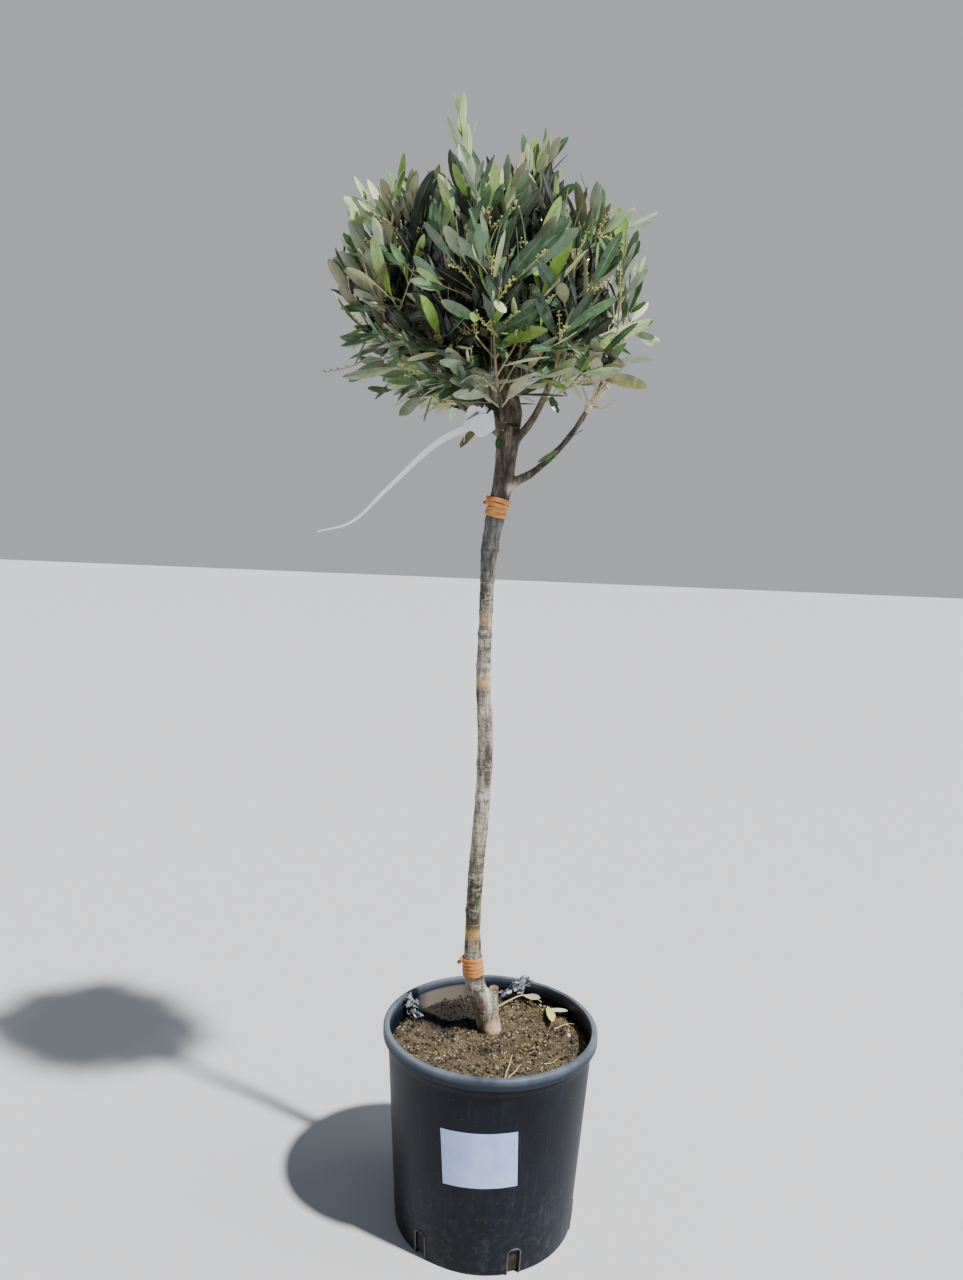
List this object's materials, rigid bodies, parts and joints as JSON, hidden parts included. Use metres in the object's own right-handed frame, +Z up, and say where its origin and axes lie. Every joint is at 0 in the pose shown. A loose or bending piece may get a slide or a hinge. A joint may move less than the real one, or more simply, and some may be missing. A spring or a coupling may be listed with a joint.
{
  "type": "potted olive tree",
  "caption": "Young standard olive tree: a slim trunk with a round leafy crown, tied at two heights, in a tapering round nursery pot of soil.",
  "frame": {"origin": "centre of the pot's flat underside", "axes": "+Z up along the tree, +Y away from the picture's camera, +X to the right as the picture shows it"},
  "size_m": [0.3407, 0.2748, 1.1981],
  "materials": {
    "pot": "satin",
    "soil": "rough",
    "bark": "matte",
    "leaf": "satin",
    "tie": "satin",
    "label": "satin",
    "tag": "satin"
  },
  "bodies": {
    "root": {"pot": "pot", "soil": "soil", "trunk": "bark", "bough_top_right": "bark", "bough_top_left": "bark", "bough_top_back": "bark", "bough_right": "bark", "bough_back_right": "bark", "bough_back": "bark", "bough_back_left": "bark", "bough_left": "bark", "bough_front": "bark", "bough_low_right": "bark", "bough_low_left": "bark", "bough_low_front": "bark", "bough_low_back": "bark", "foliage_top_right": "leaf", "foliage_top_left": "leaf", "foliage_top_back": "leaf", "foliage_right": "leaf", "foliage_back_right": "leaf", "foliage_back": "leaf", "foliage_back_left": "leaf", "foliage_left": "leaf", "foliage_front": "leaf", "foliage_low_right": "leaf", "foliage_low_left": "leaf", "foliage_low_front": "leaf", "foliage_low_back": "leaf", "tie_upper": "tie", "tie_lower": "tie", "pot_label": "label", "plant_tag": "tag"}
  },
  "joints": []
}
